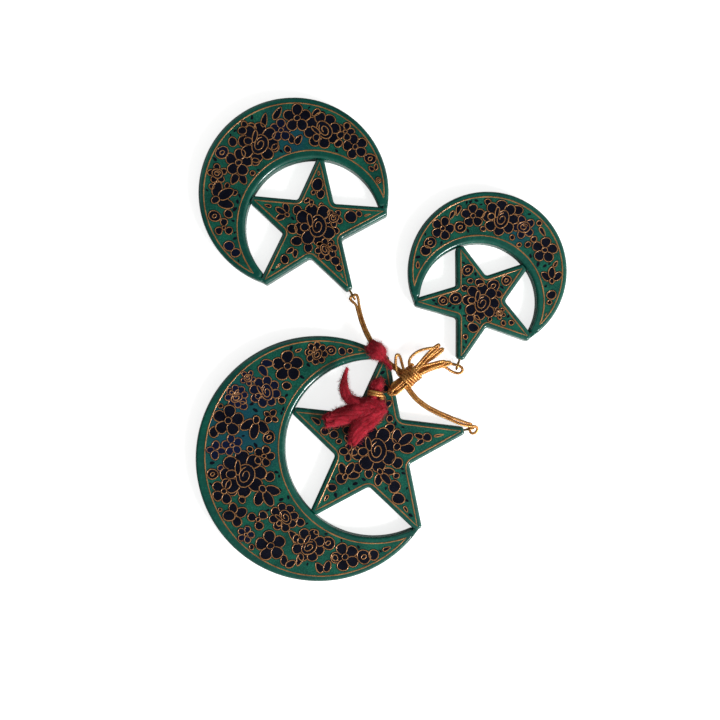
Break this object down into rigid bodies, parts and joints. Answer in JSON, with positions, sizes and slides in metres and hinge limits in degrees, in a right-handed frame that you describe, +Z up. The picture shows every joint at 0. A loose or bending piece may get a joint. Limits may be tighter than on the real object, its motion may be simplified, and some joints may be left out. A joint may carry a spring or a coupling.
{
  "type": "eid crescent ornament",
  "caption": "Tied set of flat lacquered crescent moons, each with a glued-in star hung from a wire eye on doubled metallic cord, gathered in a whipped hank with a red wool tie.",
  "frame": {"origin": "centre of the bounding box of the ornaments, on the surface they lie on", "axes": "+Z up out of the painted faces, +Y from the large ornament towards the medium one, +X towards the small one"},
  "size_m": [0.1512, 0.197, 0.0129],
  "materials": {
    "lacquered_board": "gloss",
    "brass_wire": "satin",
    "metallic_cord": "satin",
    "red_wool": "matte"
  },
  "bodies": {
    "large_ornament": {"large_crescent": "lacquered_board", "large_star": "lacquered_board", "large_eye": "brass_wire"},
    "tie": {"large_cord": "metallic_cord", "medium_cord": "metallic_cord", "small_cord": "metallic_cord", "cord_hank": "metallic_cord", "hank_whipping": "metallic_cord", "loose_bight": "metallic_cord", "wool_binding": "metallic_cord", "wool_sleeve": "red_wool", "wool_knot": "red_wool", "wool_tail_up": "red_wool", "wool_tail_left": "red_wool", "wool_tail_down": "red_wool"},
    "medium_ornament": {"medium_crescent": "lacquered_board", "medium_star": "lacquered_board", "medium_eye": "brass_wire"},
    "small_ornament": {"small_crescent": "lacquered_board", "small_star": "lacquered_board", "small_eye": "brass_wire"}
  },
  "joints": [
    {"name": "large_turn", "type": "hinge", "parent": "large_ornament", "child": "tie", "pos_m": [0.03776, -0.03619, 0.00275], "axis": [0, 0, -1], "range_deg": [0, 20]},
    {"name": "medium_swing", "type": "hinge", "parent": "tie", "child": "medium_ornament", "pos_m": [-0.01167, 0.01814, 0.00275], "axis": [0.866, 0.5, 0], "range_deg": [0, 90]},
    {"name": "small_swing", "type": "hinge", "parent": "tie", "child": "small_ornament", "pos_m": [0.03129, -0.01044, 0.00275], "axis": [0.9548, -0.2974, 0], "range_deg": [0, 90]}
  ]
}
